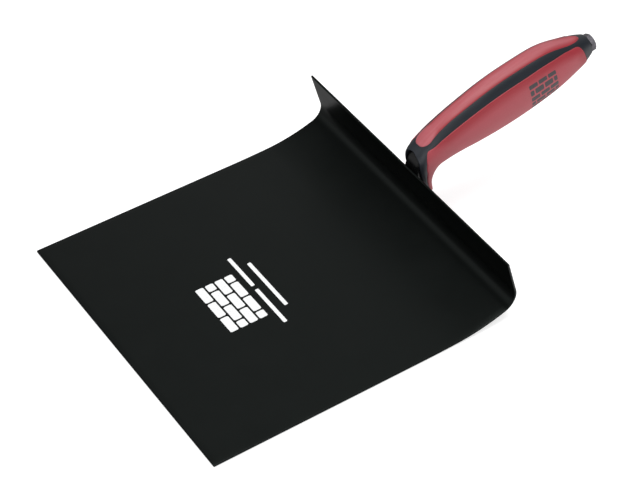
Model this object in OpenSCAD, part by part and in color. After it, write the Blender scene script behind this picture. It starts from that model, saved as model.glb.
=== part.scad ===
// Harling trowel: a square throwing blade with a turned-up rear lip,
// a forged shank riveted to the back of the lip, and a two-tone grip.
// X runs across the blade, +Y from the front edge to the handle, +Z up.
// The origin is the middle of the blade's flat underside.

/* [Blade] */
// Width of the blade, across the lip
blade_w = 178; // [160:1:230]
// Length of the flat part, from the front edge to the start of the rise
flat_l = 124; // [110:1:150]
// Thickness of the blade sheet
sheet_t = 1.2; // [1:0.1:1.5]
// Length of the straight lip above the tight bend
lip_l = 23; // [22:0.5:26]
// Inside radius of the tight bend at the foot of the lip
bend_r = 9; // [7:0.5:11]

/* [Shank] */
// Width of the forged foot
foot_w = 62; // [54:1:80]
// Height of the foot along the lip
foot_h = 12.5; // [11.5:0.25:13]
// Thickness of the foot
foot_t = 3; // [2.5:0.1:3.2]
// Width of the bar between foot and grip
bar_w = 11; // [10:0.5:11.5]
// Depth of the bar between foot and grip
bar_d = 6; // [5:0.25:6]
// Diameter of the tang inside the grip
tang_d = 7; // [6.5:0.25:8]
// Upward slope of the tang, degrees
tang_slope = 12.5; // [11.5:0.25:13.5]

/* [Rivets] */
// Diameter of the rivet shanks
rivet_d = 3.5; // [3:0.25:4]
// Distance of the inner rivets from the middle
rivet_x = 13; // [12:0.5:15]
// Distance from the outer rivets to the ends of the foot
rivet_edge = 6.5; // [5:0.5:7]
// Height of the rivets above the foot's lower edge
rivet_up = 4.5; // [4:0.25:5]
// Height of the rivet dome
rivet_head_h = 1.2; // [0.8:0.1:1.4]

/* [Grip] */
// How far the soft panels stand above the hard core
panel_proud = 0.3; // [0:0.05:0.5]
// Depth of the soft panels at the palm
panel_t = 2; // [1.6:0.1:2.2]
// Depth of the soft panels at the neck
panel_t_neck = 1.2; // [1:0.1:1.3]
// Half width of the top panel, in degrees about the grip's centre line
top_half = 25; // [20:1:28]
// Squareness of the grip's section at the palm, 2 is an ellipse
palm_sq = 2.3; // [2:0.1:2.6]
// Narrowing of the section towards the top, as a share of its width
egg = 0.12; // [0:0.01:0.2]

/* [End fixing] */
// Width across the flats of the end nut
nut_af = 9; // [8.5:0.5:9.5]
// Height of the end nut
nut_h = 2.8; // [2.5:0.1:5]
// Diameter of the threaded end
thread_d = 6; // [5:0.5:6]

/* [Detail] */
// Steps across the under panel, each side of its middle
under_steps = 11; // [8:1:14]
// Steps across each bare stripe of the core
stripe_steps = 6; // [4:1:8]
// Steps across the top panel, each side of its middle
top_steps = 3; // [2:1:5]

/* [Hidden] */
$fn = 64;
gap = 0.1;      // moulding clearance round the shank inside the grip

// ---- blade profile: inner face, as a point and a heading ----
rise_r1 = 530;  rise_a1 = 2.3;
rise_r2 = 102;  rise_a2 = 17.4;
bend_a = 86.3;
function adv(p, th, r, a) = p + r * [sin(th + a) - sin(th), cos(th) - cos(th + a)];
function ctr(p, th, r) = p + r * [-sin(th), cos(th)];
p1 = [flat_l / 2, sheet_t];
p2 = adv(p1, 0, rise_r1, rise_a1);
p3 = adv(p2, rise_a1, rise_r2, rise_a2);
p4 = adv(p3, rise_a1 + rise_a2, bend_r, bend_a);
lip_th = rise_a1 + rise_a2 + bend_a;
lean = lip_th - 90;
p5 = p4 + lip_l * [cos(lip_th), sin(lip_th)];

// ---- grip stations from the neck to the butt, measured from the lip's top edge ----
// [upper/front y, z, lower/rear y, z, half width, section squareness]
S = [
 [ 10.5, -18.0,  15.0, -20.0,  7.0, 3.0],
 [  5.5,  -8.0,  14.0, -10.0,  7.8, 3.0],
 [  3.5,   5.0,  18.0,  -3.0,  8.7, 2.8],
 [ 11.5,  14.0,  25.0,  -1.5,  9.2, 2.5],
 [ 22.0,  21.0,  33.0,  -1.0,  9.7, palm_sq],
 [ 35.0,  27.0,  45.0,   0.0, 10.3, palm_sq],
 [ 51.5,  33.5,  59.5,   2.0, 10.8, palm_sq],
 [ 69.5,  38.0,  77.0,   6.0, 11.0, palm_sq],
 [ 87.5,  40.5,  95.0,  12.0, 10.8, palm_sq],
 [104.5,  38.0, 109.0,  18.5,  9.0, palm_sq],
 [117.5,  36.3, 120.5,  23.3,  6.4, palm_sq]];
last = len(S) - 1;
// upper edge of the under panel: station, degrees above the grip's widest line
EDGE = [[0, 1], [1.5, 1], [2.06, 12], [2.42, 31], [2.62, 44], [2.72, 46], [2.86, 42], [3.05, 38],
        [4, 37.5], [5, 39], [7, 39], [8.1, 42], [8.66, 49], [9.06, 52], [9.5, 54]];
// extra half width of the top panel near its front end: station, degrees
FLARE = [[3.08, 6], [3.3, 4], [3.6, 1.7], [4.1, 0.8], [4.7, 0]];
round_from = 9.3;   // the butt rounds over from here
round_to = 0.84;    // share of the section left at the end face

function row(i) = i < 0 ? 2 * S[0] - S[1] : i > last ? 2 * S[last] - S[last - 1] : S[i];
function crom(a, b, c, d, f) =
    0.5 * (2 * b + (c - a) * f + (2 * a - 5 * b + 4 * c - d) * f * f
           + (-a + 3 * b - 3 * c + d) * f * f * f);
function station(u) = let (i = min(floor(u), last - 1))
    crom(row(i - 1), row(i), row(i + 1), row(i + 2), u - i);
function butt(u) = let (v = max(0, min(1, (u - round_from) / (last - round_from))))
    sqrt(1 - v * v * (1 - round_to * round_to));
function spow(v, e) = sign(v) * pow(abs(v), e);
// a point of the grip: u along it, ph round it (90 is the top), t its depth below the skin
function skin(u, ph, t = 0) = let (
    s = station(u), e = butt(u),
    hy = (s[0] - s[2]) / 2, hz = (s[1] - s[3]) / 2, h = norm([hy, hz]),
    b = (h * e - t) / h, a = s[4] * e - t,
    c = spow(cos(ph), 2 / s[5]), k = spow(sin(ph), 2 / s[5]))
    [a * c * (1 - egg * k),
     p5[0] + (s[0] + s[2]) / 2 + b * hy * k,
     p5[1] + (s[1] + s[3]) / 2 + b * hz * k];
function depth(u) = u < 1.5 ? panel_t_neck
    : u > 4 ? panel_t : panel_t_neck + (panel_t - panel_t_neck) * (u - 1.5) / 2.5;

// a closed solid from rings of equal length
module loft(r) {
    n = len(r[0]); m = len(r);
    polyhedron(
        points = [for (q = r) each q],
        faces = concat(
            [for (i = [0:m - 2]) for (j = [0:n - 1]) let (k = (j + 1) % n)
                [i * n + j, (i + 1) * n + j, (i + 1) * n + k]],
            [for (i = [0:m - 2]) for (j = [0:n - 1]) let (k = (j + 1) % n)
                [i * n + j, (i + 1) * n + k, i * n + k]],
            [[for (j = [0:n - 1]) j]],
            [[for (j = [n - 1:-1:0]) (m - 1) * n + j]]));
}

// ---- panels ----
// the top panel lies between these stations and rounds off towards both ends
top_from = 2.64; top_full = 3.08; top_fall = 8.9; top_to = 9.6;
// the under panel starts above the neck's rim and rounds off at the butt
under_from = 0.12; under_fall = 9.05; under_to = 9.5;
thin = 0.005;   // run of a recess's end wall
// stations of the rings
U = concat([0, under_from - thin, under_from, 0.5, 0.9, 1.3, 1.6, 1.8, 1.95, 2.1, 2.25, 2.4, 2.52, 2.6],
    [top_from + 0.01 - thin, top_from + 0.01, 2.69, 2.74, 2.82, 2.92, 3.02, 3.15, 3.3],
    [for (i = [1:18]) 3.3 + 0.31 * i],
    [9.0, 9.12, 9.22, 9.3, 9.36, 9.41, 9.45, 9.48 - thin, 9.48, 9.53, 9.57 - thin, 9.57, 9.64, 9.73, 9.81, 9.89, 9.95, last]);
U_top = [for (u = U) if (u >= top_from + 0.01 && u <= 9.57 - thin) u];
U_under = [for (u = U) if (u >= under_from && u <= 9.48 - thin) u];
function bow(v, e = 2) = pow(max(0, 1 - pow(v, e)), 1 / e);
// half widths of the panels about the grip's centre, in degrees
function wt(u0) = let (u = max(top_from + 0.01, min(9.57, u0)))
    (top_half + lookup(u, FLARE)) * (u < top_full ? bow((top_full - u) / (top_full - top_from))
    : u > top_fall ? bow((u - top_fall) / (top_to - top_fall)) : 1);
function wu(u0) = let (u = max(0, min(9.48, u0)))
    (90 + lookup(u, EDGE)) * (u > under_fall ? bow((u - under_fall) / (under_to - under_fall), 3) : 1);
function t_top(u) = u >= top_from + 0.01 && u <= 9.57 - thin ? depth(u) : 0;
function t_under(u) = u >= under_from && u <= 9.48 - thin ? depth(u) : 0;

// one ring of the core: right stripe, under recess, left stripe, top recess
function core_ring(u) = let (a = 90 - wt(u), b = -90 + wu(u), ns = stripe_steps, nu = under_steps, nt = top_steps)
    concat(
        [for (i = [0:ns]) skin(u, a + (b - a) * i / ns)],
        [for (i = [-nu:nu]) skin(u, -90 - wu(u) * i / nu, t_under(u))],
        [for (i = [0:ns]) skin(u, 180 - (b + (a - b) * i / ns))],
        [for (i = [-nt:nt]) skin(u, 90 - wt(u) * i / nt, t_top(u))]);
// one ring of a panel: outer face, slightly proud with eased edges, then back inside
function panel_ring(u, mid, w, n) = concat(
    [for (i = [-n:n]) skin(u, mid + w * i / n, abs(i) == n ? 0.15 - panel_proud : -panel_proud)],
    [for (i = [n:-1:-n]) skin(u, mid + w * i / n, depth(u))]);

// ---- frames ----
// across the blade: x to Y, y to Z, z to X
module across() { rotate([90, 0, 90]) children(); }
// standing on the foot of the lip: Z up the lip, Y out of its back
module lip_frame() { translate([0, p4[0], p4[1]]) rotate([lean, 0, 0]) children(); }

// points along an arc of the sheet, t outside its inner face
function arc_pts(p, th, r, a, n, t = 0) = [for (i = [0:n]) ctr(p, th, r) + (r + t) * [sin(th + a * i / n), -cos(th + a * i / n)]];
function face_pts(t) = concat([[-flat_l / 2, sheet_t - t]],
    arc_pts(p1, 0, rise_r1, rise_a1, 3, t), arc_pts(p2, rise_a1, rise_r2, rise_a2, 12, t),
    arc_pts(p3, rise_a1 + rise_a2, bend_r, bend_a, 28, t),
    [p5 + t * [sin(lip_th), -cos(lip_th)]]);
function back(v) = [for (i = [len(v) - 1:-1:0]) v[i]];

// ---- shank path, in the lip's frame ----
turn = 90 + lean - tang_slope;
bend_c = 12;                                  // middle radius of the bar's bend
leg_y = sheet_t + bar_d / 2;
butt_y = (S[last][0] + S[last][2]) / 2;       // middle of the butt, from the lip's top edge
butt_z = (S[last][1] + S[last][3]) / 2 - 0.8;
// butt in the lip's frame
by = butt_y * cos(lean) + butt_z * sin(lean);
bz = -butt_y * sin(lean) + butt_z * cos(lean) + lip_l;
dive = lean - tang_slope;                     // fall of the tang in the lip's frame
leg_top = bz + (by - leg_y) * tan(dive) - bend_c * tan(turn / 2);
bend_end = [leg_y + bend_c - bend_c * cos(turn), leg_top + bend_c * sin(turn)];
tang_l = norm([by, bz] - bend_end);
bar_run = 9;                                  // bar kept at full section after the bend
washer_t = 0.8;

module bar_section(g = 0) {
    w = bar_w + 2 * g; d = bar_d + 2 * g; r = 1.8;
    square([d - 2 * r, w], center = true);
    square([d, w - 2 * r], center = true);
    for (x = [-1, 1], y = [-1, 1]) translate([x * (d / 2 - r), y * (w / 2 - r)]) circle(r = r);
}
// along the tang from the end of the bend: local Z runs to the butt
module tang_frame() {
    lip_frame() translate([0, bend_end[0], bend_end[1]]) rotate([-90 - dive, 0, 0]) children();
}
// the forging is a shade fuller in its bend than in its straight runs
module bar(g = 0) {
    lip_frame() {
        translate([0, leg_y, 1]) rotate([0, 0, 90]) linear_extrude(height = leg_top - 0.6) bar_section(g);
        translate([0, leg_y + bend_c, leg_top]) across() rotate([0, 0, 180 - turn])
            rotate_extrude(angle = turn) translate([bend_c, 0]) bar_section(g + 0.05);
    }
    tang_frame() translate([0, 0, -0.4]) rotate([0, 0, 90]) linear_extrude(height = bar_run + 0.4 + g) bar_section(g);
}
// plain low strip with rounded corners
module foot_shape(g = 0) {
    r = 4; w = foot_w + 2 * g; lo = 1 - g; hi = foot_h + g;
    translate([-w / 2 + r, lo]) square([w - 2 * r, hi - lo]);
    translate([-w / 2, lo + r]) square([w, hi - lo - 2 * r]);
    for (i = [-1, 1], z = [lo + r, hi - r]) translate([i * (w / 2 - r), z]) circle(r = r);
}
module foot_plate(g = 0) {
    lip_frame() translate([0, sheet_t, 0]) rotate([90, 0, 0]) mirror([0, 0, 1])
        linear_extrude(height = foot_t + g) foot_shape(g);
}
module at_rivets() {
    lip_frame() for (x = [rivet_x, foot_w / 2 - rivet_edge], s = [-1, 1])
        translate([s * x, 0, 1 + rivet_up]) rotate([-90, 0, 0]) children();
}
module rivet_hole() {
    translate([0, 0, -1]) cylinder(d = rivet_d, h = sheet_t + foot_t + 2);
    cylinder(d1 = rivet_d + 2 * sheet_t, d2 = rivet_d, h = sheet_t);
}

// ---- sub-parts ----
// Pressed sheet: flat throwing face, long gentle rise, tight bend and straight lip
module blade() {
    color([0.10, 0.10, 0.10]) difference() {
        across() translate([0, 0, -blade_w / 2]) linear_extrude(height = blade_w)
            polygon(concat(face_pts(0), back(face_pts(sheet_t))));
        at_rivets() rivet_hole();
    }
}

// Forged shank: strip foot, bar that turns over into the grip, round tang with a threaded end
module shank() {
    color([0.06, 0.06, 0.07]) difference() {
        union() {
            foot_plate();
            bar();
            tang_frame() {
                translate([0, 0, bar_run - 1]) cylinder(d = tang_d, h = tang_l - bar_run - 2);
                translate([0, 0, bar_run]) cylinder(d = thread_d, h = tang_l + washer_t + nut_h + 0.4 - bar_run);
            }
        }
        at_rivets() translate([0, 0, -1]) cylinder(d = rivet_d, h = sheet_t + foot_t + 2);
    }
}

// Countersunk rivets, flush on the throwing side and domed on the foot
module lip_rivets() {
    color([0.12, 0.12, 0.12]) at_rivets() {
        cylinder(d1 = rivet_d + 2 * sheet_t, d2 = rivet_d, h = sheet_t);
        cylinder(d = rivet_d, h = sheet_t + foot_t + 0.4);
        hr = rivet_d * 0.9;
        sr = (hr * hr + rivet_head_h * rivet_head_h) / (2 * rivet_head_h);
        translate([0, 0, sheet_t + foot_t]) intersection() {
            translate([0, 0, rivet_head_h - sr]) sphere(r = sr);
            cylinder(r = hr + 1, h = rivet_head_h + 1);
        }
    }
}

// Hard core: full grip shape with recesses for the panels, an arched front opening
// at the collar, the bar's channel and the tang's bore
module handle_core() {
    color([0.19, 0.20, 0.23]) difference() {
        loft([for (u = U) core_ring(u)]);
        bar(gap);
        collar_opening();
        foot_plate(0.3);
        tang_frame() translate([0, 0, bar_run - 1.2]) cylinder(d = tang_d + 2 * gap, h = tang_l + 10);
    }
}
// arched cut through the collar's front wall, in the lip's frame
module collar_opening() {
    hw = 6.6; top = lip_l + 6.6; r = 5.6;
    lip_frame() translate([0, 11, 0]) rotate([90, 0, 0]) linear_extrude(height = 36) {
        translate([-hw, -5]) square([2 * hw, top - r + 5]);
        translate([-hw + r, 0]) square([2 * hw - 2 * r, top]);
        for (s = [-1, 1]) translate([s * (hw - r), top - r]) circle(r = r);
    }
}

// Soft panel along the top of the grip, rounded at both ends
module grip_top() {
    color([0.71, 0.20, 0.25]) loft([for (u = U_top) panel_ring(u, 90, wt(u), top_steps)]);
}

// Soft panel that wraps the underside and runs down the back of the neck
module grip_under() {
    color([0.66, 0.17, 0.21]) loft([for (u = U_under) panel_ring(u, -90, wu(u), under_steps)]);
}

// Washer between the butt and the nut
module butt_washer() {
    color([0.35, 0.35, 0.37]) tang_frame() translate([0, 0, tang_l]) difference() {
        cylinder(d = nut_af + 0.6, h = washer_t);
        translate([0, 0, -1]) cylinder(d = thread_d, h = washer_t + 2);
    }
}

// Hexagon nut that pulls the grip onto the shank
module end_nut() {
    color([0.28, 0.27, 0.30]) tang_frame() translate([0, 0, tang_l + washer_t]) difference() {
        intersection() {
            cylinder(d = nut_af / cos(30), h = nut_h, $fn = 6);
            cylinder(d1 = nut_af * 1.12 + 2 * nut_h, d2 = nut_af * 1.12 - 0.6, h = nut_h);
        }
        translate([0, 0, -1]) cylinder(d = thread_d, h = nut_h + 2);
    }
}

blade();
shank();
lip_rivets();
handle_core();
grip_top();
grip_under();
butt_washer();
end_nut();
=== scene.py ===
import math

import bmesh
import bpy
import numpy as np
from mathutils import Matrix, Vector
from mathutils.bvhtree import BVHTree
from mathutils.kdtree import KDTree


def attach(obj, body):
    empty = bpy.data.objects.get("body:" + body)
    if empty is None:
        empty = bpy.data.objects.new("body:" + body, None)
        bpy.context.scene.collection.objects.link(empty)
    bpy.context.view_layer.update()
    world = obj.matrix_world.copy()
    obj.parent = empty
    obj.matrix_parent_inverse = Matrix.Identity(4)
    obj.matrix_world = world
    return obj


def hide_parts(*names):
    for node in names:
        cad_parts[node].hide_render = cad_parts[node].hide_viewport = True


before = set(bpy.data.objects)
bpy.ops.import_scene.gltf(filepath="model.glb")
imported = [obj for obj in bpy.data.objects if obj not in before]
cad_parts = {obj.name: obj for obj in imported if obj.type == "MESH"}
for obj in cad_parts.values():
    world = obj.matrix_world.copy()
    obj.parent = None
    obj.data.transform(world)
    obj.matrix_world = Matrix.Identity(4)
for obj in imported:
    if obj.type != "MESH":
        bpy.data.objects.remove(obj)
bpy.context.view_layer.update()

MM = 0.001
scene = bpy.context.scene
scene.view_settings.view_transform = "Standard"
scene.view_settings.look = "None"

# ------------------------------------------------------------------ camera
cam_data = bpy.data.cameras.new("camera")
cam_data.sensor_width = 36.0
cam_data.lens = 120.563
cam_data.clip_start = 0.05
cam_data.clip_end = 60.0
cam = bpy.data.objects.new("camera", cam_data)
scene.collection.objects.link(cam)
right = Vector((0.558297, 0.829630, 0.004294)).normalized()
look = Vector((-0.592841, 0.402561, -0.697484)).normalized()
up = right.cross(look).normalized()
cam.matrix_world = Matrix((
    (right.x, up.x, -look.x, 0.665794),
    (right.y, up.y, -look.y, -0.392696),
    (right.z, up.z, -look.z, 0.798734),
    (0, 0, 0, 1)))
scene.camera = cam

# ------------------------------------------------------------------ the CAD's own maths, in mm
FLAT, T, LIP, BEND = 124.0, 1.2, 23.0, 9.0
HALF_W = 89.0
ARCS = [(530.0, 2.3), (102.0, 17.4), (BEND, 86.3)]


def sind(a):
    return math.sin(math.radians(a))


def cosd(a):
    return math.cos(math.radians(a))


def arc_point(p, th, r, a):
    return (p[0] + r * (sind(th + a) - sind(th)), p[1] + r * (cosd(th) - cosd(th + a)))


_p, _th = (FLAT / 2, T), 0.0
for _r, _a in ARCS:
    _p = arc_point(_p, _th, _r, _a)
    _th += _a
P4 = _p
LEAN = _th - 90.0
P5 = (P4[0] + LIP * cosd(_th), P4[1] + LIP * sind(_th))

SQ = 2.3
S = np.array([
    [10.5, -18.0, 15.0, -20.0, 7.0, 3.0],
    [5.5, -8.0, 14.0, -10.0, 7.8, 3.0],
    [3.5, 5.0, 18.0, -3.0, 8.7, 2.8],
    [11.5, 14.0, 25.0, -1.5, 9.2, 2.5],
    [22.0, 21.0, 33.0, -1.0, 9.7, SQ],
    [35.0, 27.0, 45.0, 0.0, 10.3, SQ],
    [51.5, 33.5, 59.5, 2.0, 10.8, SQ],
    [69.5, 38.0, 77.0, 6.0, 11.0, SQ],
    [87.5, 40.5, 95.0, 12.0, 10.8, SQ],
    [104.5, 38.0, 109.0, 18.5, 9.0, SQ],
    [117.5, 36.3, 120.5, 23.3, 6.4, SQ]])
LAST = len(S) - 1
ROUND_FROM, ROUND_TO, EGG = 9.3, 0.84, 0.12
PROUD, PANEL_T, PANEL_T_NECK = 0.3, 2.0, 1.2
TOP_HALF, TOP_FROM, TOP_FULL, TOP_FALL, TOP_TO = 25.0, 2.64, 3.08, 8.9, 9.6
UNDER_FROM, UNDER_FALL, UNDER_TO = 0.12, 9.05, 9.5
EDGE = [[0, 1], [1.5, 1], [2.06, 12], [2.42, 31], [2.62, 44], [2.72, 46], [2.86, 42], [3.05, 38],
        [4, 37.5], [5, 39], [7, 39], [8.1, 42], [8.66, 49], [9.06, 52], [9.5, 54]]
FLARE = [[3.08, 6], [3.3, 4], [3.6, 1.7], [4.1, 0.8], [4.7, 0]]
_ROWS = np.vstack([2 * S[0] - S[1], S, 2 * S[-1] - S[-2]])


def station(u):
    i = max(0, min(int(math.floor(u)), LAST - 1))
    f = u - i
    a, b, c, d = _ROWS[i], _ROWS[i + 1], _ROWS[i + 2], _ROWS[i + 3]
    return 0.5 * (2 * b + (c - a) * f + (2 * a - 5 * b + 4 * c - d) * f * f + (-a + 3 * b - 3 * c + d) * f ** 3)


def butt(u):
    v = max(0.0, min(1.0, (u - ROUND_FROM) / (LAST - ROUND_FROM)))
    return math.sqrt(1 - v * v * (1 - ROUND_TO ** 2))


def spow(v, e):
    return math.copysign(abs(v) ** e, v)


def skin(u, ph, t=0.0):
    s, e = station(u), butt(u)
    hy, hz = (s[0] - s[2]) / 2, (s[1] - s[3]) / 2
    h = math.hypot(hy, hz)
    b, a = (h * e - t) / h, s[4] * e - t
    c, k = spow(cosd(ph), 2 / s[5]), spow(sind(ph), 2 / s[5])
    return (a * c * (1 - EGG * k), P5[0] + (s[0] + s[2]) / 2 + b * hy * k, P5[1] + (s[1] + s[3]) / 2 + b * hz * k)


def depth(u):
    if u < 1.5:
        return PANEL_T_NECK
    return PANEL_T if u > 4 else PANEL_T_NECK + (PANEL_T - PANEL_T_NECK) * (u - 1.5) / 2.5


def seat(u):
    """How deep the soft panels sit in the moulding: shallower round the thin collar."""
    return depth(u) * (0.5 + 0.5 * min(1.0, max(0.0, (u - 1.9) / 1.2)))


def bow(v, e=2.0):
    return max(0.0, 1 - max(0.0, v) ** e) ** (1.0 / e)


def table_at(u, rows):
    return float(np.interp(u, [r[0] for r in rows], [r[1] for r in rows]))


def soft_table(u, rows, reach=0.05):
    """The table's value, eased over its corners."""
    return sum(table_at(u + reach * k / 3, rows) for k in range(-3, 4)) / 7


def wt(u):
    w = TOP_HALF + soft_table(u, FLARE, 0.12)
    if u < TOP_FULL:
        return w * bow((TOP_FULL - u) / (TOP_FULL - TOP_FROM))
    return w * (bow((u - TOP_FALL) / (TOP_TO - TOP_FALL)) if u > TOP_FALL else 1)


def wu(u):
    w = 90 + soft_table(u, EDGE)
    return w * (bow((u - UNDER_FALL) / (UNDER_TO - UNDER_FALL), 3.0) if u > UNDER_FALL else 1)


# frames
def lip_pt(x, y, z):
    """A point of the lip's frame: z up the lip, y out of its back."""
    return (x, P4[0] + y * cosd(LEAN) - z * sind(LEAN), P4[1] + y * sind(LEAN) + z * cosd(LEAN))


BAR_W, BAR_D, TANG_D, TANG_SLOPE = 11.0, 6.0, 7.0, 12.5
TURN = 90 + LEAN - TANG_SLOPE
BEND_C = 12.0
LEG_Y = T + BAR_D / 2
_by = (S[LAST][0] + S[LAST][2]) / 2
_bz = (S[LAST][1] + S[LAST][3]) / 2 - 0.8
BY = _by * cosd(LEAN) + _bz * sind(LEAN)
BZ = -_by * sind(LEAN) + _bz * cosd(LEAN) + LIP
DIVE = LEAN - TANG_SLOPE
LEG_TOP = BZ + (BY - LEG_Y) * math.tan(math.radians(DIVE)) - BEND_C * math.tan(math.radians(TURN / 2))
BEND_END = (LEG_Y + BEND_C - BEND_C * cosd(TURN), LEG_TOP + BEND_C * sind(TURN))
TANG_L = math.hypot(BY - BEND_END[0], BZ - BEND_END[1])
BAR_RUN = 9.0
WASHER_T, NUT_AF, NUT_H, THREAD_D = 0.8, 9.0, 2.8, 6.0


def tang_pt(x, y, z):
    """A point of the tang's frame: z along it, towards the butt."""
    # local z -> (cos dive, -sin dive), local y -> (-sin dive ... ) in the lip's (y, z) plane
    a = -(90 + DIVE)
    yy = y * cosd(a) - z * sind(a)
    zz = y * sind(a) + z * cosd(a)
    return lip_pt(x, BEND_END[0] + yy, BEND_END[1] + zz)


# ------------------------------------------------------------------ mesh helpers
def new_object(name, verts, faces, unit=MM):
    me = bpy.data.meshes.new(name)
    me.from_pydata([(v[0] * unit, v[1] * unit, v[2] * unit) for v in verts], [], faces)
    ob = bpy.data.objects.new(name, me)
    scene.collection.objects.link(ob)
    return ob


def tidy(ob, angle=40.0, merge=None):
    """Outward normals, smooth faces and sharp edges where the surface really turns."""
    bm = bmesh.new()
    bm.from_mesh(ob.data)
    if merge:
        bmesh.ops.remove_doubles(bm, verts=bm.verts, dist=merge * MM)
        bmesh.ops.dissolve_degenerate(bm, edges=bm.edges, dist=1e-8)
    bmesh.ops.recalc_face_normals(bm, faces=bm.faces)
    lim = math.radians(angle)
    for f in bm.faces:
        f.smooth = True
    for e in bm.edges:
        e.smooth = not (len(e.link_faces) == 2 and e.calc_face_angle(0.0) > lim)
    bm.to_mesh(ob.data)
    bm.free()
    ob.data.update()
    return ob


def grid_faces(m, n, wrap=True, base=0):
    """Quads between m rings of n points."""
    out = []
    for i in range(m - 1):
        for j in range(n if wrap else n - 1):
            k = (j + 1) % n
            out.append((base + i * n + j, base + i * n + k, base + (i + 1) * n + k, base + (i + 1) * n + j))
    return out


def apply_mods(ob):
    dg = bpy.context.evaluated_depsgraph_get()
    me = bpy.data.meshes.new_from_object(ob.evaluated_get(dg))
    old = ob.data
    ob.modifiers.clear()
    ob.data = me
    bpy.data.meshes.remove(old)
    return ob


def cut(ob, cutter):
    m = ob.modifiers.new("cut", "BOOLEAN")
    m.operation = "DIFFERENCE"
    m.solver = "EXACT"
    m.object = cutter
    apply_mods(ob)
    bpy.data.objects.remove(cutter)
    return ob


def remesh(ob, voxel, smooth=6, factor=0.5):
    m = ob.modifiers.new("voxels", "REMESH")
    m.mode = "VOXEL"
    m.voxel_size = voxel * MM
    m.adaptivity = 0.0
    apply_mods(ob)
    if smooth:
        s = ob.modifiers.new("ease", "SMOOTH")
        s.factor = factor
        s.iterations = smooth
        apply_mods(ob)
    return ob


def joined(name, obs):
    """One object that holds the meshes of several."""
    bm = bmesh.new()
    for o in obs:
        bm.from_mesh(o.data)
        bpy.data.objects.remove(o)
    me = bpy.data.meshes.new(name)
    bm.to_mesh(me)
    bm.free()
    ob = bpy.data.objects.new(name, me)
    scene.collection.objects.link(ob)
    return ob


def rounded_rect(w, h, r, n=8):
    """Points of a rounded rectangle about the origin, counter-clockwise."""
    pts = []
    for cx, cy, a0 in ((w / 2 - r, h / 2 - r, 0), (-w / 2 + r, h / 2 - r, 90), (-w / 2 + r, -h / 2 + r, 180), (w / 2 - r, -h / 2 + r, 270)):
        for i in range(n + 1):
            a = a0 + 90 * i / n
            pts.append((cx + r * cosd(a), cy + r * sind(a)))
    return pts


def prism(name, outline, place, z0, z1, ease=0.0, steps=3):
    """An outline from z0 to z1 with eased rims; place(x, y, z) puts a point in the part's frame."""
    cx = sum(p[0] for p in outline) / len(outline)
    cy = sum(p[1] for p in outline) / len(outline)
    n = len(outline)
    # inward normals of the outline
    nrm = []
    for i in range(n):
        a, b = outline[i - 1], outline[(i + 1) % n]
        dx, dy = b[0] - a[0], b[1] - a[1]
        L = math.hypot(dx, dy) or 1.0
        nrm.append((-dy / L, dx / L))
    levels = []
    if ease:
        levels += [(z0 + ease * (1 - cosd(90 * i / steps)), ease * (1 - sind(90 * i / steps))) for i in range(steps)]
        levels += [(z0 + ease, 0.0), (z1 - ease, 0.0)]
        levels += [(z1 - ease * (1 - sind(90 * (i + 1) / steps)), ease * (1 - cosd(90 * (i + 1) / steps))) for i in range(steps)]
    else:
        levels = [(z0, 0.0), (z1, 0.0)]
    verts, rings = [], 0
    for z, inset in levels:
        for p, q in zip(outline, nrm):
            verts.append(place(p[0] + q[0] * inset, p[1] + q[1] * inset, z))
        rings += 1
    faces = grid_faces(rings, n)
    faces.append(tuple(range(n)))
    faces.append(tuple((rings - 1) * n + j for j in range(n)))
    return new_object(name, verts, faces)


def revolve(name, profile, place, n=96, closed=False):
    """Turns a profile of (radius, z) points about z. closed: the profile is a loop, as in a ring."""
    verts, m = [], len(profile)
    for r, z in profile:
        for j in range(n):
            a = 360.0 * j / n
            verts.append(place(r * cosd(a), r * sind(a), z))
    faces = grid_faces(m, n)
    if closed:
        for j in range(n):
            k = (j + 1) % n
            faces.append(((m - 1) * n + j, (m - 1) * n + k, k, j))
    else:
        faces.append(tuple(range(n)))
        faces.append(tuple((m - 1) * n + j for j in range(n)))
    return new_object(name, verts, faces)


# ------------------------------------------------------------------ materials
def nodes_of(mat):
    mat.use_nodes = True
    nt = mat.node_tree
    nt.nodes.clear()
    out = nt.nodes.new("ShaderNodeOutputMaterial")
    bsdf = nt.nodes.new("ShaderNodeBsdfPrincipled")
    nt.links.new(bsdf.outputs["BSDF"], out.inputs["Surface"])
    return nt, bsdf


def add(nt, kind, **props):
    n = nt.nodes.new(kind)
    for k, v in props.items():
        if k.startswith("in_"):
            n.inputs[k[3:].replace("_", " ")].default_value = v
        else:
            setattr(n, k, v)
    return n


def coords(nt, scale):
    """Object coordinates in metres, scaled to a texture space."""
    tc = add(nt, "ShaderNodeTexCoord")
    mp = add(nt, "ShaderNodeMapping")
    mp.inputs["Scale"].default_value = scale if isinstance(scale, tuple) else (scale, scale, scale)
    nt.links.new(tc.outputs["Object"], mp.inputs["Vector"])
    return mp.outputs["Vector"]


def noise(nt, vec, scale, detail=3.0, rough=0.55, dist=0.0):
    n = add(nt, "ShaderNodeTexNoise")
    n.inputs["Scale"].default_value = scale
    n.inputs["Detail"].default_value = detail
    n.inputs["Roughness"].default_value = rough
    n.inputs["Distortion"].default_value = dist
    nt.links.new(vec, n.inputs["Vector"])
    return n.outputs["Fac"]


def remap(nt, val, a, b, c, d):
    m = add(nt, "ShaderNodeMapRange")
    m.clamp = True
    for k, v in zip(("From Min", "From Max", "To Min", "To Max"), (a, b, c, d)):
        m.inputs[k].default_value = v
    nt.links.new(val, m.inputs["Value"])
    return m.outputs["Result"]


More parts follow.
